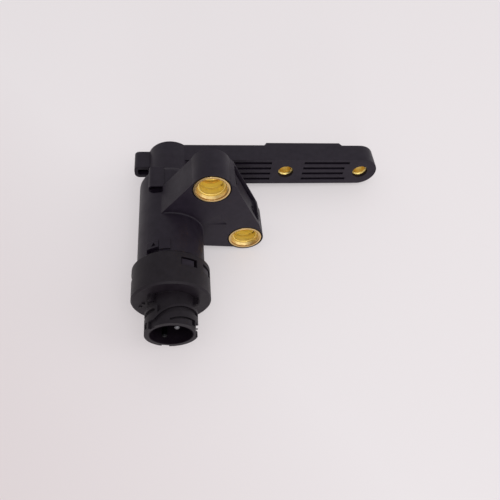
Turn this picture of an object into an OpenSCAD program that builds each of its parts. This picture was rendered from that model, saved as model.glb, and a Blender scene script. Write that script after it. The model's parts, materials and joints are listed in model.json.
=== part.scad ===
// Solenoid diverter valve with a bolt-on arm, two push-in ports and a twist-lock plug socket.
// The sections are drawn looking at the ports, X to the right and Y up, and grow forward along Z.
// placed() then turns them so that the plug socket points along -Y and +Z is up.
// Every "_z" value is a distance forward of the rear face of the arm, on the valve's own axis.

/* [Barrel and hub] */
// Radius of the barrel that holds the coil
barrel_r = 16.4; // [16:0.1:16.5]
// Distance from the rear face to the barrel's shoulder
shoulder_z = 20.9; // [20.5:0.1:22]
// Radius of the rear hub
hub_r = 12.3; // [11:0.1:12.4]
// Distance from the rear face to the barrel's open front end
barrel_front_z = 89; // [88:0.1:89.2]

/* [Arm] */
// Height of the arm
arm_h = 19.3; // [17:0.1:21]
// Thickness of the arm
arm_t = 11.7; // [10.5:0.1:13]
// Distance from the valve's axis to the inner fixing hole
inner_hole_x = 65.5; // [62:0.5:67]
// Distance between the two fixing holes
fixing_pitch = 44.4; // [42:0.1:48]
// Diameter of the fixing holes, for an M6 screw
fixing_bore_d = 6.6; // [6.2:0.1:7]
// How far the locating pad stands out behind the arm
pad_t = 1.9; // [1:0.1:2.5]

/* [Port flange] */
// Distance from the rear face to the flange's front face
flange_front_z = 53.6; // [53:0.1:54.5]
// Thickness of the flange
flange_t = 16.7; // [16.2:0.1:17]
// Radius of the boss around each port
boss_r = 9.75; // [9.6:0.05:10.2]
// Sideways distance from the axis to the upper port
upper_port_x = 20; // [19:0.1:21]
// Height of the upper port above the axis
upper_port_y = 33; // [32:0.1:34]
// Sideways distance from the axis to the lower port
lower_port_x = 38.8; // [38:0.1:40]
// Height of the lower port, below the axis when negative
lower_port_y = -6; // [-7:0.1:-5]
// Outer diameter of the tube that pushes into a port
tube_d = 12; // [11.5:0.1:12]

/* [Plug socket] */
// Radius of the cap's collar at its rear rim
collar_r = 18.8; // [18.5:0.1:19.5]
// Distance from the rear face to the collar's rear rim
collar_rear_z = 77; // [76.8:0.1:78]
// Distance from the rear face to the collar's front face
collar_front_z = 94.5; // [94:0.1:95]
// Distance from the rear face to the mouth of the socket
mouth_z = 110.9; // [110.6:0.1:112]
// Radius inside the mouth
mouth_r = 9.7; // [9.6:0.05:9.8]
// Radius over the twist-lock ribs
rib_r = 12.2; // [12:0.1:12.8]
// Diameter of a contact pin
pin_d = 2.5; // [2:0.1:2.6]

/* [Motion] */
// Travel of the armature, rod and poppet
stroke = 1.2; // [0.8:0.1:1.2]

/* [Hidden] */
$fn = 96;
over = 0.05;

plastic = "#2c2b2f";
dark_plastic = "#232226";
brass = "#c9a03c";
steel = "#9ea1a5";
rubber = "#1c1c1d";
copper = "#a85a2c";

// The arm
arm_half = arm_h / 2;
outer_hole_x = inner_hole_x + fixing_pitch;
bush_r = 4.4;
bush_recess = 1.8;
bush_chamfer = 0.6;
pad_start_x = 53.2;
pad_end_x = 99;
pad_slope = 1.4;
slot_w = 1.7;
slot_depth = 8.5;
slot_rows = [7.1, 2.9, -1.3, -5.6];
middle_rows = 4;
inner_slots_x = [33, 56.6];
outer_slots_x = [75.4, 102];
middle_slots_end_x = 99.9;
stub_x = -19.9;
stub_low = -3.95;
stub_high = 4.3;
stub_corner = 2.8;
stub_hole_x = -15.1;
stub_hole_w = 5.8;
stub_hole_h = 4.2;
stub_hole_depth = 5;

// The flange: the line between the ports is "along" and its outward normal is "out"
flange_rear_z = flange_front_z - flange_t;
port_gap = norm([lower_port_x - upper_port_x, lower_port_y - upper_port_y]);
along = [lower_port_x - upper_port_x, lower_port_y - upper_port_y] / port_gap;
along_angle = atan2(along.y, along.x);
edge_out = 10.6;
pocket_start = 4.2;
pocket_end = 36;
pocket_in = 1.6;
pocket_rim_front = 2.1;
pocket_rim_rear = 0.9;
pocket_corner = 2.6;
front_groove_w = 0.8;
front_groove_end = 14;
front_groove_depth = 1.5;
rear_groove_w = 1.2;
rear_groove_depth = 2.5;
pocket_posts = [9.2, 33.4];
post_r = 0.9;
post_back = 0.4;
post_hole_r = 2;
post_hole_depth = 3;
left_wall_angle = 144.8;
fillet_angles = [-20, 100];

// The barrel's inside, from the front
coil_bore_r = 13.5;
coil_bore_z = 52.6;
insert_bore_r = 12;
insert_bore_z = 33;
exhaust_r = 9.5;
exhaust_z = 25;
hub_core_r = 8.6;
hub_core_z = 17.5;
hub_post_r = 3;
hub_web_t = 1.8;
shoulder_round = 5;
front_lead = 0.8;
cap_groove_z = [85.9, 88];
cap_groove_depth = 1.35;
hook_z = [81.2, 84.55];
hook_gap = 4.5;
pad_rear_z = 69.6;
key_pad_front_z = 75;
notch_pad_front_z = 73.9;
notch_front_z = 77.8;

// The ports' sockets: each "_d" value is a depth behind the flange's front face
socket_proud = 0.1;
socket_lip_r = 8.65;
socket_lip_in_r = 7.8;
socket_lip_d = 1.8;
lip_groove_r = 7.25;
lip_groove_d = 0.8;
lead_in_r = 7.15;
lead_in_d = [0.25, 1.9];
neck_r = 6.5;
neck_d = 2.3;
socket_outline_r = 9.3;
socket_outline_d = 1.6;
socket_body_r = 8;
socket_bore_r = tube_d / 2 + 0.05;
clip_groove_d = [5.1, 6.5];
clip_groove_r = 7.3;
clip_gap_w = 1.6;
seal_groove_d = [9.2, 11.2];
socket_z = flange_front_z - 12.1;
end_wall_t = 0.6;
end_hole_r = 0.8;
end_hole_circle = 3;
chamber_z = 37.9;
chamber_r = 4.5;
passage_r = 1.5;
passage_z = 39.45;
supply_elbow = [14.8, 24.45];
supply_end = [5.6, 9.3];
supply_z = 47.3;
outlet_end = [11, -1.7];

// The hood over the exhaust outlet
hood_x = -6.8;
hood_rear_z = 23.3;
hood_front_z = 36.5;
hood_top = 16.6;
hood_w = 7.8;
hood_corner = 2;
hood_low = 8.5;
hood_mouth_w = 6.6;
hood_mouth_y = [12.7, 15.9];
hood_mouth_rear_z = 27;
scoop_r = 5;
outlet_angle = 119;
outlet_at_z = 28.6;
outlet_r = 2.2;
outlet_top_r = 15.5;

// The insert, its seats and what moves between them
insert_r = 11.95;
insert_front_z = 52.4;
ring_w = 2;
ring_floor_r = 10.2;
rear_ring_z = 34.4;
middle_ring_z = 42.7;
front_ring_z = 49.7;
annulus_r = 9.8;
outlet_annulus = [37.4, 41.9];
supply_annulus = [45.5, 49];
exhaust_seat_z = 38.2;
supply_seat_z = 42.6;
seat_lip = 0.5;
seat_hole_r = 2.3;
poppet_room_r = 5.5;
rod_r = 1.2;
touch = 0.05;
cross_hole_r = 1.3;
supply_room_z = 45.2;
rod_guide_r = 4.9;
stem_hole_r = 2.8;
poppet_front_z = supply_seat_z - touch;
poppet_rear_z = exhaust_seat_z + stroke + touch;
poppet_r = 4;
poppet_grip = 1;
stem_rear_z = 32.6;
cup_r = 4.6;
cup_t = 0.8;
spring_wire_r = 0.35;
spring_r = 3.4;
spring_turns = 5;

// The solenoid
pole_flange_t = 2;
pole_r = 4.95;
pole_front_z = 66;
tube_in_r = 5;
tube_out_r = 5.4;
tube_front_z = 82.4;
armature_r = 4.92;
armature_rear_z = pole_front_z + stroke + 0.2;
armature_front_z = 79.8;
rod_front_z = 72;
bobbin_rear_z = coil_bore_z + pole_flange_t + 0.1;
bobbin_front_z = 82;
bobbin_flange_r = 12.1;
bobbin_flange_t = 1.4;
bobbin_core_r = 6.4;
winding_r = 11.5;
can_r = 13.35;
can_in_r = 12.3;
can_front_z = 84.2;
washer_t = 1.6;

// The plug socket
tube_r = 11.1;
collar_in_r = barrel_r + 0.2;
collar_wall_z = 91.4;
skirt_r = 13.3;
skirt_in_r = 12.3;
carrier_front_z = 97;
carrier_flange_r = 12;
carrier_rear_z = 89.8;
pin_circle_r = 4.9;
pin_angles = [57, 229];
pin_rear_z = 90.4;
pin_front_z = 109.7;
pin_tip = 0.5;
window_angles = [24, 61.5, 175, 214, 274, 312];
window_half = 12.4;
window_z = [80.4, 84.6];
key_angles = [89, 107];
notch_angles = [107.5, 131.3];
collar_edge = 0.8;
mark_angles = [15, 135, 255];
mark_h = 2.3;
pips = [[190, 14.6], [179, 12.9]];
lead_r = 8.4;
lead_front_z = 89.2;

// Twist-lock ribs: three units, each with an entry slot at the mouth that leads into a channel.
// The angle "turn" counts clockwise from the entry, as the plug's ring is turned. The second
// entry is wider than the others, so that the plug goes on in one position only. A short funnel
// widens each channel towards the mouth beside its entry.
unit_angle = 120;
entry_angle = 135;
entry_turns = [[-8, 8], [-11.5, 30], [-8, 8]];
entry_rear_z = 107.4;
channel_w = 2.1;
channel_start = 2.2;
channel_end_z = 103;
channel_rise = 6.9;
channel_turn = 90;
channel_power = 2.45;
channel_stop = 126;
channel_floor_r = 10.5;
funnel_rise = 1.85;
funnel_turn = 18;
rib_rear_z = 96;
rib_t = 1.4;
rib_start = 17;
rib_overlap = 1.2;
slit_offset = 4.6;
slit_w = 1;
slit_turns = [44, 106.2];
notch_turns = [94, 105];
notch_l = 2.5;
band_step = 3;
seam_angle = 1.3;

function channel_z(turn) =
    turn >= channel_turn ? channel_end_z
    : channel_end_z + channel_rise * pow(1 - max(turn, 0) / channel_turn, channel_power);

// Turns the drawing frame into the part's frame
module placed() {
    rotate([90, 0, 0]) children();
}

module disc(r, z0, z1, x = 0, y = 0) {
    translate([x, y, z0]) cylinder(r = r, h = z1 - z0);
}

module ring(r_out, r_in, z0, z1, x = 0, y = 0) {
    difference() {
        disc(r_out, z0, z1, x, y);
        disc(r_in, z0 - 1, z1 + 1, x, y);
    }
}

module block(x0, x1, y0, y1, z0, z1) {
    translate([x0, y0, z0]) cube([x1 - x0, y1 - y0, z1 - z0]);
}

// Part of a tube between two angles
module sector(r0, r1, a0, a1, z0, z1) {
    rotate([0, 0, a0]) rotate_extrude(angle = a1 - a0) translate([r0, z0]) square([r1 - r0, z1 - z0]);
}

module o_ring(r, section, z, x = 0, y = 0) {
    translate([x, y, z]) rotate_extrude() translate([r, 0]) circle(r = section, $fn = 32);
}

// A box with its four upright edges rounded, centred on X and Y
module rounded_box(w, h, r, z0, z1) {
    translate([-w / 2, -h / 2 + r, z0]) cube([w, h - 2 * r, z1 - z0]);
    translate([-w / 2 + r, -h / 2, z0]) cube([w - 2 * r, h, z1 - z0]);
    for (x = [-1, 1], y = [-1, 1])
        disc(r, z0, z1, x * (w / 2 - r), y * (h / 2 - r));
}

// A straight drilling from one point to another
module drilling(from, to, r) {
    way = to - from;
    translate(from) rotate([0, acos(way.z / norm(way)), atan2(way.y, way.x)]) cylinder(r = r, h = norm(way));
}

// A band that follows the ribs: low and high are functions of the turn
module band(r_in, r_out, turn0, turn1, low, high) {
    steps = ceil((turn1 - turn0) / band_step);
    turns = [for (i = [0 : steps]) turn0 + (turn1 - turn0) * i / steps];
    points = [
        for (t = turns, p = [[r_in, low(t)], [r_out, low(t)], [r_out, high(t)], [r_in, high(t)]])
            [p[0] * cos(entry_angle - t), p[0] * sin(entry_angle - t), p[1]]
    ];
    sides = [
        for (i = [0 : steps - 1], k = [0 : 3])
            let (a = 4 * i + k, b = 4 * i + (k + 1) % 4)
            each [[a, a + 4, b + 4], [a, b + 4, b]]
    ];
    last = 4 * steps;
    polyhedron(points, concat([[0, 1, 2, 3]], sides, [[last + 3, last + 2, last + 1, last]]), convexity = 4);
}

// Housing

module barrel_shell() {
    rotate_extrude() union() {
        translate([0, shoulder_z]) square([barrel_r - shoulder_round, shoulder_round]);
        polygon([
            [0, shoulder_z + shoulder_round],
            [barrel_r, shoulder_z + shoulder_round],
            [barrel_r, barrel_front_z - front_lead],
            [barrel_r - front_lead, barrel_front_z],
            [0, barrel_front_z]
        ]);
        translate([barrel_r - shoulder_round, shoulder_z + shoulder_round]) intersection() {
            circle(r = shoulder_round);
            translate([0, -shoulder_round]) square(shoulder_round);
        }
    }
}

module arm_shell() {
    block(0, outer_hole_x, -arm_half, arm_half, 0, arm_t);
    disc(arm_half, 0, arm_t, outer_hole_x, 0);
    translate([0, arm_half, 0]) rotate([90, 0, 0]) linear_extrude(height = arm_h)
        polygon([
            [pad_start_x, over],
            [pad_start_x + pad_slope, -pad_t],
            [pad_end_x - pad_slope, -pad_t],
            [pad_end_x, over]
        ]);
}

module stub_shell() {
    block(stub_x + stub_corner, 0, stub_low, stub_high, 0, arm_t);
    block(stub_x, 0, stub_low + stub_corner, stub_high - stub_corner, 0, arm_t);
    for (y = [stub_low + stub_corner, stub_high - stub_corner])
        disc(stub_corner, 0, arm_t, stub_x + stub_corner, y);
}

// The flange's web reaches from the barrel to both bosses, with a chamfer on its lower front edge
module flange_web() {
    wall = [cos(left_wall_angle), sin(left_wall_angle)];
    port = [upper_port_x, upper_port_y];
    foot = [-4.4, 15.6];
    low_start = [8, -12.4];
    low_end = [lower_port_x - 1, lower_port_y - boss_r + 0.35];
    low_edge = low_end - low_start;
    chamfer = 1;
    out = [-along.y, along.x];
    corner_out = 9.6;
    corners = [
        port + along * 0.6 + out * corner_out,
        port + along * 3.6 + out * edge_out,
        port + along * 37.6 + out * edge_out,
        port + along * 42.6 + out * corner_out
    ];
    difference() {
        translate([0, 0, flange_rear_z]) linear_extrude(height = flange_t)
            polygon(concat(
                [[0, 0], foot, port + wall * (boss_r - 0.35), port],
                corners,
                [[lower_port_x, lower_port_y], low_end, low_start]
            ));
        translate([low_start.x, low_start.y, flange_front_z]) rotate([0, 0, atan2(low_edge.y, low_edge.x)])
            rotate([90, 0, 90]) linear_extrude(height = norm(low_edge) + 1)
                polygon([[-1, -chamfer], [0, -chamfer], [chamfer, 0], [chamfer, 1], [-1, 1]]);
    }
}

module flange_shell() {
    fillet = 0.7;
    flange_web();
    disc(boss_r, flange_rear_z, flange_front_z, upper_port_x, upper_port_y);
    disc(boss_r - 0.1, flange_rear_z, flange_front_z, lower_port_x, lower_port_y);
    rotate([0, 0, fillet_angles[0]]) rotate_extrude(angle = fillet_angles[1] - fillet_angles[0])
        translate([barrel_r - 0.2, flange_front_z - over])
            polygon([[0, 0], [fillet, 0], [0.1, fillet - 0.1], [0, fillet - 0.1]]);
}

// Shallow step in the flange's face, which runs out to nothing away from its corner
module flange_step() {
    depth = 0.55;
    slope = 2.5;
    translate([28.3, 6.1, flange_front_z]) rotate([slope, slope, 0]) translate([0, 0, -depth])
        linear_extrude(height = 3) polygon([[0, 0], [-2.8, 6], [-4, 12], [-12, 12], [-12, 0]]);
}

// Shallow pocket in the flange's outer side. Two short posts stand in holes in its floor. A narrow
// groove runs along its rear wall, and a shallower one along its front wall beside the upper boss.
module side_pocket() {
    w = flange_t - pocket_rim_front - pocket_rim_rear;
    mid = (pocket_start + pocket_end) / 2;
    start = pocket_start + pocket_corner - mid;
    translate([upper_port_x, upper_port_y, 0]) rotate([0, 0, along_angle])
        translate([mid, edge_out - pocket_in, flange_rear_z + pocket_rim_rear + w / 2])
            rotate([-90, 0, 0]) {
                rounded_box(pocket_end - pocket_start, w, pocket_corner, 0, 10);
                for (x = pocket_posts)
                    ring(post_hole_r, post_r, -post_hole_depth, over, x - mid, post_back);
                block(
                    start, front_groove_end - mid, -w / 2, -w / 2 + front_groove_w,
                    -front_groove_depth, over
                );
                block(start, -start, w / 2 - rear_groove_w, w / 2, -rear_groove_depth, over);
            }
}

module pocket_slot() {
    translate([upper_port_x, upper_port_y, 0]) rotate([0, 0, along_angle])
        block(pocket_end + 0.6, pocket_end + 1.9, edge_out - 3, edge_out + 2, 44.4, 50.2);
}

module hood_shell() {
    left = hood_x - hood_w / 2;
    block(left + hood_corner, hood_x + hood_w / 2, hood_low, hood_top, hood_rear_z, hood_front_z);
    block(left, left + hood_corner + over, hood_low, hood_top - hood_corner, hood_rear_z, hood_front_z);
    disc(hood_corner, hood_rear_z, hood_front_z, left + hood_corner, hood_top - hood_corner);
}

// The hood's mouth and the scoop that leads out of it along the barrel
module hood_opening() {
    h = hood_mouth_y[1] - hood_mouth_y[0];
    translate([hood_x, (hood_mouth_y[0] + hood_mouth_y[1]) / 2, 0])
        rounded_box(hood_mouth_w, h, 1.5, hood_mouth_rear_z, hood_front_z + over);
    translate([hood_x - hood_mouth_w / 2, hood_mouth_y[0] + scoop_r, hood_front_z - 1]) intersection() {
        rotate([0, 90, 0]) cylinder(r = scoop_r, h = hood_mouth_w);
        translate([0, -scoop_r, 1]) cube([hood_mouth_w, scoop_r, scoop_r]);
    }
}

module arm_slots() {
    for (y = slot_rows) {
        middle = abs(y - 0.8) < middle_rows;
        outer_end = middle ? middle_slots_end_x : outer_slots_x[1];
        for (x = [inner_slots_x, [outer_slots_x[0], outer_end]])
            block(x[0], x[1], y - slot_w / 2, y + slot_w / 2, arm_t - slot_depth, arm_t + 1);
    }
}

module port_cavity(x, y) {
    fit = 0.05;
    disc(socket_outline_r, flange_front_z - socket_outline_d, flange_front_z + 1, x, y);
    disc(socket_lip_r + fit, flange_front_z - socket_lip_d - fit, flange_front_z + 1, x, y);
    disc(socket_body_r + fit, socket_z - fit, flange_front_z, x, y);
    disc(chamber_r, chamber_z, socket_z + 1, x, y);
}

module snap_hooks() {
    top_r = collar_r - 0.45;
    for (a = window_angles)
        sector(barrel_r - 1, top_r, a - window_half + hook_gap, a + window_half - 0.8, hook_z[0], hook_z[1]);
}

module key_and_notch_pads() {
    sector(barrel_r - 1, barrel_r + 0.8, key_angles[0], key_angles[1], pad_rear_z, key_pad_front_z);
    sector(
        barrel_r - 1, barrel_r + 0.6, notch_angles[0] + 0.5, notch_angles[1] - 0.8,
        pad_rear_z, notch_pad_front_z
    );
}

// Hollow in the hub's rear, round a centre post with four webs
module hub_core() {
    difference() {
        ring(hub_core_r, hub_post_r, -1, hub_core_z);
        for (a = [45, 135])
            rotate([0, 0, a]) block(-hub_r, hub_r, -hub_web_t / 2, hub_web_t / 2, -2, hub_core_z + 1);
    }
}

// Drilled passages: supply in two legs, outlet in one, exhaust out into the hood
module passages() {
    elbow = [supply_elbow.x, supply_elbow.y, passage_z];
    drilling([upper_port_x, upper_port_y, passage_z], elbow, passage_r);
    translate(elbow) sphere(r = passage_r);
    drilling(elbow, [supply_end.x, supply_end.y, supply_z], passage_r);
    drilling([lower_port_x, lower_port_y, passage_z], [outlet_end.x, outlet_end.y, passage_z], passage_r);
    translate([0, 0, outlet_at_z]) rotate([0, 90, outlet_angle]) translate([0, 0, exhaust_r - 2])
        cylinder(r = outlet_r, h = outlet_top_r - exhaust_r + 2);
}

// Notch that takes the cap's key, with a small arrow mark behind it
module key_notch() {
    sector(
        barrel_r - 1.9, barrel_r + 2, notch_angles[0], notch_angles[1],
        notch_pad_front_z - 0.5, notch_front_z
    );
    rotate([0, 0, 117]) translate([barrel_r - 0.4, 0, 71.8]) rotate([0, 90, 0])
        cylinder(r = 1.4, h = 3, $fn = 3);
}

module housing_hollows() {
    disc(coil_bore_r, coil_bore_z, barrel_front_z + 1);
    disc(insert_bore_r, insert_bore_z, coil_bore_z + 1);
    disc(exhaust_r, exhaust_z, insert_bore_z + 1);
    hub_core();
    port_cavity(upper_port_x, upper_port_y);
    port_cavity(lower_port_x, lower_port_y);
    passages();
    ring(barrel_r + 2, barrel_r - cap_groove_depth, cap_groove_z[0], cap_groove_z[1]);
    key_notch();
}

module valve_housing() {
    color(plastic) placed() difference() {
        union() {
            barrel_shell();
            disc(hub_r, 0, shoulder_z + 4);
            arm_shell();
            stub_shell();
            flange_shell();
            hood_shell();
            snap_hooks();
            key_and_notch_pads();
        }
        housing_hollows();
        side_pocket();
        pocket_slot();
        hood_opening();
        flange_step();
        arm_slots();
        for (x = [inner_hole_x, outer_hole_x]) {
            disc(bush_r + 0.05, -5, arm_t - bush_recess, x, 0);
            disc(bush_r + 0.1, 5, arm_t + 1, x, 0);
        }
        translate([stub_hole_x, 0.1, 0])
            rounded_box(stub_hole_w, stub_hole_h, 1.2, arm_t - stub_hole_depth, arm_t + 1);
    }
}

module arm_bush(x, rear) {
    front = arm_t - bush_recess;
    color(brass) placed() translate([x, 0, 0]) rotate_extrude()
        polygon([
            [fixing_bore_d / 2, rear],
            [bush_r - 0.3, rear],
            [bush_r, rear + 0.3],
            [bush_r, front - 0.2],
            [bush_r - 0.2, front],
            [fixing_bore_d / 2 + bush_chamfer, front],
            [fixing_bore_d / 2, front - bush_chamfer]
        ]);
}

module inner_arm_bush() {
    arm_bush(inner_hole_x, -pad_t);
}

module outer_arm_bush() {
    arm_bush(outer_hole_x, 0);
}

// Ports

// Brass push-in socket. The tube stops at its end wall, which has seven small holes.
module port_socket(x, y) {
    front = flange_front_z;
    color(brass) placed() translate([x, y, 0]) difference() {
        union() {
            disc(socket_lip_r, front - socket_lip_d, front + socket_proud);
            disc(socket_body_r, socket_z, front - 1);
        }
        disc(socket_bore_r, socket_z + end_wall_t, front + 1);
        disc(end_hole_r, socket_z - 1, front);
        for (a = [0 : 60 : 300])
            rotate([0, 0, a]) disc(end_hole_r, socket_z - 1, front, end_hole_circle, 0);
        ring(clip_groove_r, 1, front - clip_groove_d[1], front - clip_groove_d[0]);
        ring(clip_groove_r, 1, front - seal_groove_d[1], front - seal_groove_d[0]);
        for (z = [45.7, 49.8])
            ring(9, socket_body_r - 0.4, z, z + 0.9);
        disc(neck_r, front - neck_d, front);
        translate([0, 0, front - lead_in_d[1]])
            cylinder(r1 = neck_r - 0.15, r2 = lead_in_r, h = lead_in_d[1] - lead_in_d[0]);
        disc(lip_groove_r, front - lead_in_d[0], front + 1);
        ring(socket_lip_in_r, lip_groove_r - 0.5, front - lead_in_d[0], front + 1);
        ring(socket_lip_in_r, lip_groove_r, front - lip_groove_d, front + 1);
    }
}

module upper_port_socket() {
    port_socket(upper_port_x, upper_port_y);
}

module lower_port_socket() {
    port_socket(lower_port_x, lower_port_y);
}

// Open ring of flat spring wire that grips the tube
module port_clip(x, y) {
    z = flange_front_z - clip_groove_d[1] + 0.1;
    t = clip_groove_d[1] - clip_groove_d[0] - 0.2;
    color(brass) placed() translate([x, y, 0]) difference() {
        ring(clip_groove_r - 0.05, socket_bore_r + 0.22, z, z + t);
        translate([0, 0, z - 1]) rotate([0, 0, -40]) cube([9, clip_gap_w, 5]);
    }
}

module upper_port_clip() {
    port_clip(upper_port_x, upper_port_y);
}

module lower_port_clip() {
    port_clip(lower_port_x, lower_port_y);
}

module port_seal(x, y) {
    z = flange_front_z - (seal_groove_d[0] + seal_groove_d[1]) / 2;
    color(rubber) placed() o_ring((clip_groove_r + socket_bore_r) / 2, 0.57, z, x, y);
}

module upper_port_seal() {
    port_seal(upper_port_x, upper_port_y);
}

module lower_port_seal() {
    port_seal(lower_port_x, lower_port_y);
}

// Perforated disc that keeps dirt out of the supply passage
module supply_screen() {
    hole_pitch = 1.7;
    hole_r = 0.55;
    color(steel) placed() translate([upper_port_x, upper_port_y, socket_z]) difference() {
        disc(chamber_r - 0.05, -0.5, -0.1);
        for (i = [-2 : 2], j = [-2 : 2])
            if (norm([i, j]) < 2.3)
                disc(hole_r, -1, 1, i * hole_pitch, j * hole_pitch);
    }
}

// Valve stage

module valve_insert() {
    color(dark_plastic) placed() difference() {
        disc(insert_r, insert_bore_z + 0.2, insert_front_z);
        for (z = [rear_ring_z, middle_ring_z, front_ring_z])
            ring(insert_r + 2, ring_floor_r, z, z + ring_w);
        for (a = [outlet_annulus, supply_annulus])
            ring(insert_r + 2, annulus_r, a[0], a[1]);
        disc(poppet_room_r, exhaust_seat_z - seat_lip, supply_seat_z);
        disc(poppet_room_r + 0.6, supply_seat_z, supply_room_z + 0.1);
        disc(rod_guide_r, supply_room_z, insert_front_z + 1);
        disc(stem_hole_r, insert_bore_z, exhaust_seat_z + 1);
        for (a = [0 : 90 : 270]) {
            rotate([0, 90, a + 45]) translate([-39.8, 0, 0]) cylinder(r = cross_hole_r, h = insert_r);
            rotate([0, 90, a]) translate([-47.2, 0, 0]) cylinder(r = cross_hole_r, h = insert_r);
        }
    }
    color(dark_plastic) placed()
        ring(stem_hole_r + 0.6, stem_hole_r, exhaust_seat_z - seat_lip - over, exhaust_seat_z);
}

module supply_seat() {
    color(brass) placed() union() {
        ring(poppet_room_r + 0.55, poppet_room_r - 0.8, supply_seat_z + 0.02, supply_room_z);
        ring(poppet_room_r, seat_hole_r, supply_seat_z + seat_lip, supply_room_z);
        ring(seat_hole_r + 0.6, seat_hole_r, supply_seat_z, supply_seat_z + 1);
    }
}

module insert_seal(z) {
    color(rubber) placed() o_ring(11.08, 0.85, z + ring_w / 2);
}

module rear_insert_seal() {
    insert_seal(rear_ring_z);
}

module middle_insert_seal() {
    insert_seal(middle_ring_z);
}

module front_insert_seal() {
    insert_seal(front_ring_z);
}

module exhaust_filter() {
    color("#8a7f6c") placed() translate([0, 0, outlet_at_z]) rotate([0, 90, outlet_angle])
        translate([0, 0, exhaust_r + 0.6]) cylinder(r = outlet_r - 0.02, h = 2.2);
}

module poppet() {
    color(rubber) placed() ring(poppet_r, rod_r, poppet_rear_z, poppet_front_z);
}

// Stem through the exhaust seat, with a hub that the poppet is moulded on
module poppet_stem() {
    color(brass) placed() disc(rod_r, stem_rear_z, poppet_front_z - poppet_grip);
}

module spring_cup() {
    color(steel) placed() union() {
        ring(cup_r, rod_r, stem_rear_z - cup_t, stem_rear_z + 0.2);
        ring(spring_r - 1.1, rod_r, stem_rear_z - 3 * cup_t, stem_rear_z - cup_t);
    }
}

// Compression spring behind the cup: five turns of round wire
module return_spring() {
    wire_r = spring_wire_r;
    z0 = exhaust_z + wire_r + 0.05;
    z1 = stem_rear_z - cup_t - wire_r - 0.05;
    per_turn = 16;
    sides = 6;
    rings = spring_turns * per_turn;
    points = [
        for (i = [0 : rings], k = [0 : sides - 1])
            let (
                a = 360 * i / per_turn,
                b = 360 * k / sides,
                r = spring_r + wire_r * cos(b),
                z = z0 + (z1 - z0) * i / rings + wire_r * sin(b)
            )
            [r * cos(a), r * sin(a), z]
    ];
    walls = [
        for (i = [0 : rings - 1], k = [0 : sides - 1])
            [
                i * sides + k,
                i * sides + (k + 1) % sides,
                (i + 1) * sides + (k + 1) % sides,
                (i + 1) * sides + k
            ]
    ];
    start = [for (k = [0 : sides - 1]) sides - 1 - k];
    finish = [for (k = [0 : sides - 1]) rings * sides + k];
    color(steel) placed() polyhedron(points, concat([start], walls, [finish]), convexity = 10);
}

module push_rod() {
    color(steel) placed() disc(rod_r, poppet_front_z - poppet_grip, rod_front_z);
}

module armature() {
    color(steel) placed() difference() {
        disc(armature_r, armature_rear_z, armature_front_z);
        disc(rod_r, armature_rear_z - 1, rod_front_z);
        for (a = [0, 180])
            rotate([0, 0, a])
                block(armature_r - 0.8, armature_r + 1, -0.7, 0.7, armature_rear_z - 1, armature_front_z + 1);
    }
}

// Solenoid

module pole_piece() {
    color(steel) placed() difference() {
        union() {
            disc(4.8, 50.3, coil_bore_z + 0.1);
            disc(can_r, coil_bore_z + 0.05, coil_bore_z + pole_flange_t);
            disc(pole_r, coil_bore_z, pole_front_z);
        }
        disc(1.6, 48, pole_front_z + 1);
        ring(6, 3.9, 50.7, 52);
    }
}

module pole_seal() {
    color(rubber) placed() o_ring(4.38, 0.45, 51.35);
}

module guide_tube() {
    color("#b9bbbe") placed() difference() {
        disc(tube_out_r, coil_bore_z + pole_flange_t + 0.05, tube_front_z);
        disc(tube_in_r, coil_bore_z, tube_front_z - 0.7);
    }
}

module coil_bobbin() {
    color("#3a3a30") placed() difference() {
        union() {
            disc(bobbin_core_r, bobbin_rear_z, bobbin_front_z);
            disc(bobbin_flange_r, bobbin_rear_z, bobbin_rear_z + bobbin_flange_t);
            disc(bobbin_flange_r, bobbin_front_z - bobbin_flange_t, bobbin_front_z);
        }
        disc(tube_out_r + 0.05, bobbin_rear_z - 1, bobbin_front_z + 1);
    }
}

module coil_winding() {
    color(copper) placed() ring(
        winding_r, bobbin_core_r + 0.02,
        bobbin_rear_z + bobbin_flange_t + 0.02, bobbin_front_z - bobbin_flange_t - 0.02
    );
}

module yoke_can() {
    color(steel) placed() ring(can_r, can_in_r, coil_bore_z + pole_flange_t + 0.05, can_front_z);
}

module yoke_washer() {
    color(steel) placed() difference() {
        disc(can_in_r - 0.05, bobbin_front_z + 0.1, bobbin_front_z + 0.1 + washer_t);
        disc(tube_out_r + 0.1, bobbin_front_z - 1, bobbin_front_z + 3);
        for (a = pin_angles)
            rotate([0, 0, a]) block(7.6, 10.4, -2, 2, bobbin_front_z - 1, bobbin_front_z + 3);
    }
}

// Two bent strips from the coil's ends to the pins
module coil_leads() {
    strip_t = 0.6;
    half = 1.2;
    out = lead_r + strip_t;
    color("#c8b070") placed() for (a = pin_angles)
        rotate([0, 0, a]) union() {
            block(lead_r, out, -half, half, bobbin_front_z + 0.05, lead_front_z);
            block(pin_circle_r - half, out, -half, half, lead_front_z - strip_t, lead_front_z);
            disc(0.9, lead_front_z - 0.05, pin_rear_z - 0.05, pin_circle_r, 0);
        }
}

// Diode package that damps the coil's switch-off spike, laid across the two strips
module suppressor() {
    color("#1e1e20") placed() rotate([0, 0, (pin_angles[0] + pin_angles[1]) / 2])
        translate([3.4, 0, 86.2]) rotate([90, 0, 0]) union() {
            cylinder(r = 1.5, h = 6.8, center = true);
            cylinder(r = 0.4, h = 10, center = true);
        }
}

// Plug socket

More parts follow.
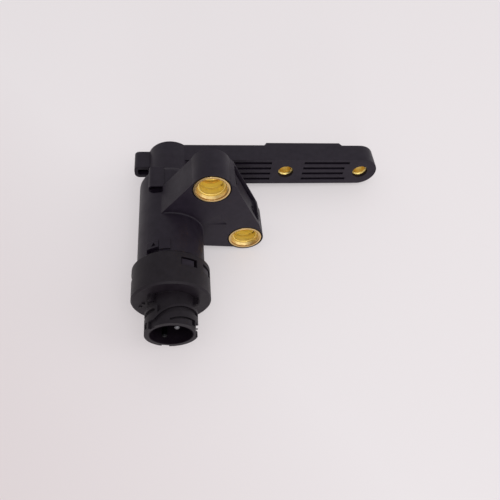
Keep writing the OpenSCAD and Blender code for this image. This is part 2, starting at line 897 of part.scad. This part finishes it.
module contact_carrier() {
    tower_h = 1.6;
    color(dark_plastic) placed() difference() {
        union() {
            disc(mouth_r + 0.15, carrier_rear_z, carrier_front_z);
            disc(carrier_flange_r, carrier_rear_z, collar_wall_z - 0.05);
            for (a = pin_angles)
                rotate([0, 0, a])
                    disc(pin_d / 2 + 1, carrier_front_z - 1, carrier_front_z + tower_h, pin_circle_r, 0);
        }
        for (a = pin_angles)
            rotate([0, 0, a])
                disc(pin_d / 2, carrier_rear_z - 1, carrier_front_z + tower_h + 1, pin_circle_r, 0);
        rotate([0, 0, -38]) block(7.4, 12, -1.2, 1.2, 92, carrier_front_z + 1);
    }
}

module contact_pins() {
    color("#c9ccd1") placed() for (a = pin_angles)
        rotate([0, 0, a]) translate([pin_circle_r, 0, 0]) rotate_extrude()
            polygon([
                [0, pin_rear_z],
                [pin_d / 2, pin_rear_z],
                [pin_d / 2, pin_front_z - pin_tip],
                [pin_d / 2 - pin_tip, pin_front_z],
                [0, pin_front_z]
            ]);
}

// Cuts that leave the twist-lock ribs of one unit standing
module rib_cuts(entry) {
    half = channel_w / 2;
    slit_half = slit_w / 2;
    low = channel_floor_r;
    high = rib_r + 1;
    band(
        low, high, rib_start, unit_angle + rib_start + rib_overlap,
        function(t) rib_rear_z - 1, function(t) channel_z(t) - half - rib_t
    );
    band(
        low, high, channel_start, channel_stop,
        function(t) channel_z(t) - half, function(t) channel_z(t) + half
    );
    band(
        low, high, entry[1] - 1, entry[1] + funnel_turn, function(t) channel_z(t),
        function(t) channel_z(t) + half + funnel_rise * (1 - (t - entry[1]) / funnel_turn) - 0.1
    );
    rotate([0, 0, entry_angle - channel_stop]) translate([low, 0, channel_end_z]) rotate([0, 90, 0])
        cylinder(r = half, h = high - low);
    sector(low, high, entry_angle - entry[1], entry_angle - entry[0], entry_rear_z, mouth_z + 1);
    band(
        low, high, slit_turns[0], slit_turns[1],
        function(t) channel_z(t) + slit_offset - slit_half, function(t) channel_z(t) + slit_offset + slit_half
    );
    sector(
        low, high, entry_angle - notch_turns[1], entry_angle - notch_turns[0],
        channel_end_z + slit_offset, channel_end_z + slit_offset + notch_l
    );
}

module twist_lock_ribs() {
    difference() {
        rotate([0, 0, seam_angle]) disc(rib_r, rib_rear_z, mouth_z);
        for (i = [0 : len(entry_turns) - 1])
            rotate([0, 0, -i * unit_angle]) rib_cuts(entry_turns[i]);
    }
}

module collar_shell() {
    draft = 0.1;
    rotate_extrude() polygon([
        [0, collar_rear_z + 2],
        [collar_in_r, collar_rear_z],
        [collar_r - collar_edge, collar_rear_z],
        [collar_r, collar_rear_z + collar_edge],
        [collar_r - draft, collar_front_z - collar_edge],
        [collar_r - draft - collar_edge, collar_front_z],
        [0, collar_front_z]
    ]);
}

// Short ribs and two pips on the collar's front face, beside the tube
module collar_marks() {
    for (a = mark_angles)
        sector(tube_r - 1, tube_r + mark_h, a - 5, a + 5, collar_front_z - 1, collar_front_z + 3.5);
    for (pip = pips)
        rotate([0, 0, pip[0]]) disc(0.8, collar_front_z - 1, collar_front_z + 0.6, pip[1], 0);
}

module connector_cap() {
    color(plastic) placed() difference() {
        union() {
            collar_shell();
            rotate([0, 0, seam_angle]) disc(tube_r, collar_front_z - 1, mouth_z);
            twist_lock_ribs();
            collar_marks();
        }
        difference() {
            disc(collar_in_r, collar_rear_z - 1, collar_wall_z);
            ring(skirt_r, skirt_in_r, can_front_z + 0.1, collar_wall_z + 1);
        }
        disc(mouth_r, collar_wall_z - 1, mouth_z + 1);
        disc(mouth_r + 0.2, collar_wall_z - 1, carrier_front_z);
        for (a = window_angles)
            sector(collar_in_r - 1, collar_r + 1, a - window_half, a + window_half, window_z[0], window_z[1]);
    }
}

module cap_seal() {
    groove_r = barrel_r - cap_groove_depth;
    color(rubber) placed()
        o_ring((groove_r + collar_in_r) / 2, 0.72, (cap_groove_z[0] + cap_groove_z[1]) / 2);
}

valve_housing();
inner_arm_bush();
outer_arm_bush();
upper_port_socket();
lower_port_socket();
upper_port_clip();
lower_port_clip();
upper_port_seal();
lower_port_seal();
supply_screen();
valve_insert();
supply_seat();
rear_insert_seal();
middle_insert_seal();
front_insert_seal();
exhaust_filter();
poppet();
poppet_stem();
spring_cup();
return_spring();
push_rod();
armature();
pole_piece();
pole_seal();
guide_tube();
coil_bobbin();
coil_winding();
yoke_can();
yoke_washer();
coil_leads();
suppressor();
contact_carrier();
contact_pins();
connector_cap();
cap_seal();
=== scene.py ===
import json

import bmesh
import bpy
from mathutils import Matrix, Vector
from mathutils.bvhtree import BVHTree


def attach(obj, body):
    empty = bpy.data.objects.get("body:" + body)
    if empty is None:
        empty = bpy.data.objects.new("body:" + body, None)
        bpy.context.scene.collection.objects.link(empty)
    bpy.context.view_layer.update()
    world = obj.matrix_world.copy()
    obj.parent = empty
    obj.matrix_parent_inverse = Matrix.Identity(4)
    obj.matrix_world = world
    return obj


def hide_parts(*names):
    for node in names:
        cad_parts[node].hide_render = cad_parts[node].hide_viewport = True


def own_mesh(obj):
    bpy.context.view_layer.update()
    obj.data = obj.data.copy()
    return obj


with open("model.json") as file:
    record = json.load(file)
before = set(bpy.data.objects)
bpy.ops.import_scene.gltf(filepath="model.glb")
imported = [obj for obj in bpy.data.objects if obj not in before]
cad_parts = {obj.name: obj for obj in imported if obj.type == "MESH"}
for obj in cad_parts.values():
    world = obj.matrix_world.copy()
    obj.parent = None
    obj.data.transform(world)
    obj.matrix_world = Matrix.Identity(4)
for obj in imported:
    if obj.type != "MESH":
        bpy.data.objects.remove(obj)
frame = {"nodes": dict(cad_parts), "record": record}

MM = 0.001

# Grams per cubic centimetre, by material slot. A slot that isn't listed has the plastic's density
DENSITY = {
    "brass": 8.5, "bright_brass": 8.5, "spring_brass": 8.5, "steel": 7.8,
    "copper_wire": 8.0, "lead_strip": 8.5, "pin_plating": 8.5,
}
PLASTIC_DENSITY = 1.4

SHEEN = 0.22
# Sheen inside the cap's mouth, taken down as painted shade
MOUTH_SHADE_SHEEN = 0.02
MOUTH_RADIUS = 10.1 * MM
BRASS_EDGE = 0.15 * MM

# Along the valve's axis: where the port brass's painted shade, painted light and roughness start to change,
# and where they have changed
RIM_Y = -53.6 * MM
DEEP_Y = -50.0 * MM

# The camera's place and directions, and the point that the lights are aimed at
CAMERA_PLACE = Vector((7.02, -207.8, 209.6)) * MM
CAMERA_FORWARD = Vector((0.1285, 0.5569, -0.8206))
CAMERA_RIGHT = Vector((0.9914, -0.0909, 0.0936))
CAMERA_LENS = 36.0
FLOOR_SIZE = 3.0
LIGHT_AIM = (0.04, -0.05, 0)

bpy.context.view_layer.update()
nodes = frame["nodes"]


# Materials

class Nodes:
    """A material's node tree, with one short method for each kind of node used here."""

    def __init__(self, name):
        self.material = bpy.data.materials.new(name)
        self.material.use_nodes = True
        self.tree = self.material.node_tree
        self.shader = self.tree.nodes["Principled BSDF"]

    def add(self, kind, links=None, **values):
        node = self.tree.nodes.new(kind)
        for key, value in values.items():
            if hasattr(node, key):
                setattr(node, key, value)
            else:
                node.inputs[key.replace("_", " ")].default_value = value
        for socket, source in (links or {}).items():
            self.tree.links.new(source, node.inputs[socket])
        return node

    def object_coordinates(self):
        return self.add("ShaderNodeTexCoord").outputs["Object"]

    def stretched(self, source, scale):
        mapping = self.add("ShaderNodeMapping", {"Vector": source})
        mapping.inputs["Scale"].default_value = scale
        return mapping.outputs["Vector"]

    def noise(self, vector, scale, detail=3.0, roughness=0.5):
        node = self.add("ShaderNodeTexNoise", {"Vector": vector})
        node.inputs["Scale"].default_value = scale
        node.inputs["Detail"].default_value = detail
        node.inputs["Roughness"].default_value = roughness
        return node.outputs["Fac"]

    def spread(self, factor, low, high, start=0.3, end=0.7):
        node = self.add("ShaderNodeMapRange", {"Value": factor})
        node.inputs["From Min"].default_value = start
        node.inputs["From Max"].default_value = end
        node.inputs["To Min"].default_value = low
        node.inputs["To Max"].default_value = high
        return node.outputs["Result"]

    def mix(self, factor, first, second):
        node = self.add("ShaderNodeMix", data_type="RGBA")
        self.tree.links.new(factor, node.inputs["Factor"])
        for socket, colour in (("A", first), ("B", second)):
            target = [i for i in node.inputs if i.name == socket and i.type == "RGBA"][0]
            if hasattr(colour, "links"):
                self.tree.links.new(colour, target)
            else:
                target.default_value = (*colour, 1.0)
        return [o for o in node.outputs if o.type == "RGBA"][0]

    def bump(self, height, strength, distance, normal=None):
        links = {"Height": height}
        if normal is not None:
            links["Normal"] = normal
        node = self.add("ShaderNodeBump", links)
        node.inputs["Strength"].default_value = strength
        node.inputs["Distance"].default_value = distance
        return node.outputs["Normal"]

    def soft_edges(self, radius):
        node = self.add("ShaderNodeBevel", samples=8)
        node.inputs["Radius"].default_value = radius
        return node.outputs["Normal"]

    def set(self, **values):
        for key, value in values.items():
            self.shader.inputs[key.replace("_", " ")].default_value = value

    def drive(self, socket, source):
        self.tree.links.new(source, self.shader.inputs[socket])


def moulded_plastic(name, colour, roughness, edge, mouth_shade_radius=None):
    """Black plastic: fine grain, faint flow marks and patches, and a low sheen.
    Nearer to the valve's axis than the given radius the sheen is taken down: painted shade that keeps the
    inside of the mouth dark."""
    m = Nodes(name)
    at = m.object_coordinates()
    flow = m.noise(at, 90, 4)
    cloud = m.noise(at, 320, 5, 0.6)
    grain = m.noise(at, 3800, 2, 0.6)
    paler = tuple(c * 1.28 + 0.003 for c in colour)
    m.drive("Base Color", m.mix(m.spread(cloud, 0, 1), colour, paler))
    m.drive("Roughness", m.spread(flow, roughness - 0.05, roughness + 0.07))
    m.set(Specular_IOR_Level=SHEEN)
    # Painted shade: little sheen inside the mouth, so that it stays dark
    if mouth_shade_radius:
        away = m.add("ShaderNodeVectorMath", {"Vector": m.stretched(at, (1, 0, 1))}, operation="LENGTH")
        start, end = mouth_shade_radius - 0.1 * MM, mouth_shade_radius + 0.1 * MM
        sheen = m.spread(away.outputs["Value"], MOUTH_SHADE_SHEEN, SHEEN, start, end)
        m.drive("Specular IOR Level", sheen)
    smooth = m.soft_edges(edge)
    m.drive("Normal", m.bump(grain, 0.22, 0.00012, smooth))
    return m.material


def turned_brass(name, colour, roughness):
    """Turned brass: fine rings round the bore, slight tarnish in patches."""
    m = Nodes(name)
    at = m.object_coordinates()
    rings = m.noise(m.stretched(at, (40, 5200, 40)), 1.0, 2)
    tarnish = m.noise(at, 260, 4)
    darker = (colour[0] * 0.80, colour[1] * 0.70, colour[2] * 0.55)
    m.drive("Base Color", m.mix(m.spread(tarnish, 0, 0.8, 0.35, 0.75), colour, darker))
    m.drive("Roughness", m.spread(tarnish, roughness - 0.04, roughness + 0.10))
    m.set(Metallic=1.0)
    m.drive("Normal", m.bump(rings, 0.05, 0.00004, m.soft_edges(BRASS_EDGE)))
    return m.material


def bored_brass(name, rim_shade_colour, deep_lit_colour):
    """Brass of the port sockets, smooth at the rim and rougher deep in the bore. Its colour is painted
    darker at the rim as painted shade, and paler deep in the bore as painted light falling into it.
    """
    m = Nodes(name)
    place = m.add("ShaderNodeSeparateXYZ", {"Vector": m.object_coordinates()})
    m.drive("Base Color", m.mix(m.spread(place.outputs["Y"], 0, 1, RIM_Y, DEEP_Y), rim_shade_colour, deep_lit_colour))
    m.drive("Roughness", m.spread(place.outputs["Y"], 0.34, 0.60, RIM_Y, DEEP_Y))
    m.set(Metallic=1.0)
    m.drive("Normal", m.soft_edges(BRASS_EDGE))
    return m.material


def drawn_steel(name, colour, roughness):
    """Turned or drawn steel with fine lines along its axis."""
    m = Nodes(name)
    at = m.object_coordinates()
    lines = m.noise(m.stretched(at, (900, 60, 900)), 1.0, 3)
    cloud = m.noise(at, 200, 3)
    m.drive("Base Color", m.mix(m.spread(cloud, 0, 1), colour, tuple(c * 0.82 for c in colour)))
    m.drive("Roughness", m.spread(lines, roughness - 0.06, roughness + 0.08))
    m.set(Metallic=1.0)
    m.drive("Normal", m.bump(lines, 0.1, 0.00004))
    return m.material


def plated_pins(name, shaded_left_colour, right_colour):
    """Plated contact pins: the one to the left of the valve's axis takes the first colour, painted near
    black as painted shade.
    """
    m = Nodes(name)
    place = m.add("ShaderNodeSeparateXYZ", {"Vector": m.object_coordinates()})
    m.drive("Base Color", m.mix(m.spread(place.outputs["X"], 0, 1, -MM, MM), shaded_left_colour, right_colour))
    m.set(Metallic=1.0, Roughness=0.5)
    m.drive("Normal", m.soft_edges(BRASS_EDGE))
    return m.material


def moulded_rubber(name, colour):
    """Matt rubber with a little dust on it."""
    m = Nodes(name)
    at = m.object_coordinates()
    dust = m.noise(at, 700, 4)
    m.drive("Base Color", m.mix(m.spread(dust, 0, 1), colour, tuple(c * 1.3 + 0.006 for c in colour)))
    m.drive("Roughness", m.spread(dust, 0.55, 0.75))
    m.drive("Normal", m.bump(m.noise(at, 2600, 2), 0.15, 0.00006))
    return m.material


def wound_wire(name):
    """Enamelled copper: one ridge for each turn along the coil, with its colour painted darker in the
    grooves between turns as painted shade.
    """
    m = Nodes(name)
    at = m.object_coordinates()
    wave = m.add("ShaderNodeTexWave", {"Vector": at}, wave_type="BANDS", bands_direction="Y")
    wave.inputs["Scale"].default_value = 640
    turns_and_groove_shade = wave.outputs["Fac"]
    # Painted shade: darker in the grooves between turns
    m.drive("Base Color", m.mix(turns_and_groove_shade, (0.20, 0.055, 0.02), (0.56, 0.22, 0.09)))
    m.drive("Roughness", m.spread(m.noise(at, 400), 0.25, 0.4))
    m.set(Metallic=0.85)
    m.drive("Normal", m.bump(turns_and_groove_shade, 0.6, 0.0002))
    return m.material


def pressed_felt(name):
    """Rough, matt fibres in two shades."""
    m = Nodes(name)
    at = m.object_coordinates()
    fibres = m.noise(at, 1500, 6, 0.75)
    m.drive("Base Color", m.mix(m.spread(fibres, 0, 1), (0.20, 0.17, 0.12), (0.36, 0.32, 0.24)))
    m.set(Roughness=0.95)
    m.drive("Normal", m.bump(fibres, 0.9, 0.0003))
    return m.material


MATERIALS = {
    "housing_plastic": moulded_plastic("housing_plastic", (0.0090, 0.0058, 0.0118), 0.47, 0.28 * MM),
    "cap_plastic": moulded_plastic("cap_plastic", (0.0062, 0.0038, 0.0066), 0.50, 0.25 * MM, MOUTH_RADIUS),
    "inner_plastic": moulded_plastic("inner_plastic", (0.004, 0.0035, 0.004), 0.55, 0.2 * MM),
    "brass": turned_brass("brass", (0.93, 0.74, 0.27), 0.34),
    # Painted shade at the port rims and painted light deep in the bores
    "bright_brass": bored_brass("bright_brass", (0.72, 0.51, 0.23), (1.0, 0.86, 0.33)),
    "spring_brass": turned_brass("spring_brass", (0.94, 0.78, 0.34), 0.30),
    "rubber": moulded_rubber("rubber", (0.012, 0.012, 0.013)),
    "amber_rubber": moulded_rubber("amber_rubber", (0.80, 0.52, 0.10)),
    "steel": drawn_steel("steel", (0.56, 0.57, 0.59), 0.30),
    "copper_wire": wound_wire("copper_wire"),
    "lead_strip": drawn_steel("lead_strip", (0.78, 0.66, 0.42), 0.28),
    "suppressor_body": moulded_plastic("suppressor_body", (0.012, 0.012, 0.013), 0.3, 0.1 * MM),
    # The left pin's near-black colour is painted shade
    "pin_plating": plated_pins("pin_plating", (0.008, 0.008, 0.009), (0.16, 0.16, 0.17)),
    "felt": pressed_felt("felt"),
}
slot_of = {part["node"]: part["material_slot"] for part in frame["record"]["subparts"]}
for name, node in nodes.items():
    node.data.materials.clear()
    node.data.materials.append(MATERIALS[slot_of[name]])


# The one piece that replaces a CAD node

def make_return_spring():
    """The return spring as a copy of its CAD mesh, attached to the valve in place of the CAD node."""
    coil = bpy.data.objects.new("return_spring_coil", nodes["return_spring"].data.copy())
    bpy.context.scene.collection.objects.link(coil)
    coil.matrix_world = nodes["return_spring"].matrix_world
    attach(coil, "valve")
    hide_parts("return_spring")
    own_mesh(coil)


# Floor: the plane the part lies on

def centre_of_mass():
    """From each node's own mesh, as the sum of the tetrahedra under its triangles."""
    total = 0.0
    moment = Vector()
    for name, node in nodes.items():
        mesh = node.data
        mesh.calc_loop_triangles()
        density = DENSITY.get(slot_of[name], PLASTIC_DENSITY)
        for triangle in mesh.loop_triangles:
            a, b, c = (mesh.vertices[i].co for i in triangle.vertices)
            mass = density * a.dot(b.cross(c)) / 6
            total += mass
            moment += mass * (a + b + c) / 4
    return moment / total


def floor_plane():
    """A point and the normal of the plane that the part lies on: the facet under its centre of mass."""
    hull = bmesh.new()
    for node in nodes.values():
        for vertex in node.data.vertices:
            hull.verts.new(node.matrix_world @ vertex.co)
    bmesh.ops.convex_hull(hull, input=hull.verts)
    tree = BVHTree.FromBMesh(hull)
    at, normal, _, _ = tree.ray_cast(centre_of_mass(), Vector((0, 0, -1)))
    hull.free()
    return at, -normal if normal.z < 0 else normal


def lit_paper(name):
    """Pale paper that glows, as on a light table, so that shadows on it stay faint: painted light.
    Its colour and glow are painted dimmer and warmer to the front left: painted shade, as if less light
    reached there."""
    m = Nodes(name)
    at = m.add("ShaderNodeNewGeometry").outputs["Position"]
    # Painted shade: the paper's colour and glow fall off towards the front left
    along = m.add("ShaderNodeVectorMath", {"Vector": at}, operation="DOT_PRODUCT")
    along.inputs[1].default_value = (-0.8, -0.6, 0)
    shade = m.spread(along.outputs["Value"], 0, 1, 0.03, 0.20)
    m.drive("Base Color", m.mix(shade, (0.45, 0.428, 0.434), (0.39, 0.352, 0.356)))
    m.drive("Emission Color", m.mix(shade, (1.0, 0.950, 0.962), (0.86, 0.77, 0.775)))
    m.set(Roughness=0.9, Specular_IOR_Level=0.2, Emission_Strength=0.385)
    return m.material


def make_floor():
    """A large square of paper in the plane that the part lies on."""
    at, normal = floor_plane()
    mesh = bpy.data.meshes.new("floor")
    half = FLOOR_SIZE / 2
    corners = [(-half, -half, 0), (half, -half, 0), (half, half, 0), (-half, half, 0)]
    mesh.from_pydata(corners, [], [(0, 1, 2, 3)])
    floor = bpy.data.objects.new("floor", mesh)
    bpy.context.scene.collection.objects.link(floor)
    floor.matrix_world = Matrix.Translation(at) @ normal.to_track_quat("Z", "Y").to_matrix().to_4x4()
    floor.data.materials.append(lit_paper("floor_paper"))


def make_camera():
    data = bpy.data.cameras.new("camera")
    data.lens = CAMERA_LENS
    data.sensor_width = 36.0
    data.clip_start = 0.01
    data.clip_end = 20
    camera = bpy.data.objects.new("camera", data)
    bpy.context.scene.collection.objects.link(camera)
    forward = CAMERA_FORWARD.normalized()
    right = (CAMERA_RIGHT - forward * CAMERA_RIGHT.dot(forward)).normalized()
    up = right.cross(forward)
    turn = Matrix((right, up, -forward)).transposed().to_4x4()
    camera.matrix_world = Matrix.Translation(CAMERA_PLACE) @ turn
    bpy.context.scene.camera = camera


def area_light(name, place, size, power):
    """A white square lamp of that size in metres and power in watts, turned towards the part."""
    data = bpy.data.lights.new(name, "AREA")
    data.shape = "RECTANGLE"
    data.size = data.size_y = size
    data.energy = power
    light = bpy.data.objects.new(name, data)
    bpy.context.scene.collection.objects.link(light)
    light.matrix_world = (
        Matrix.Translation(Vector(place))
        @ (Vector(LIGHT_AIM) - Vector(place)).to_track_quat("-Z", "Y").to_matrix().to_4x4()
    )


def make_lights():
    world = bpy.data.worlds.new("room")
    world.use_nodes = True
    background = world.node_tree.nodes["Background"]
    background.inputs["Color"].default_value = (1.0, 0.98, 1.0, 1)
    background.inputs["Strength"].default_value = 0.64
    bpy.context.scene.world = world
    area_light("overhead", (0.35, 0.45, 1.1), 1.0, 0.6)
    area_light("camera_side", (0.20, -0.72, 1.10), 0.8, 3.5)
    area_light("right_window", (1.20, -0.35, 0.75), 0.9, 4.0)
    area_light("front_lamp", (0.03, -1.0, 0.05), 0.2, 2.6)


bpy.context.scene.view_settings.view_transform = "Standard"
make_return_spring()
make_camera()
make_floor()
make_lights()
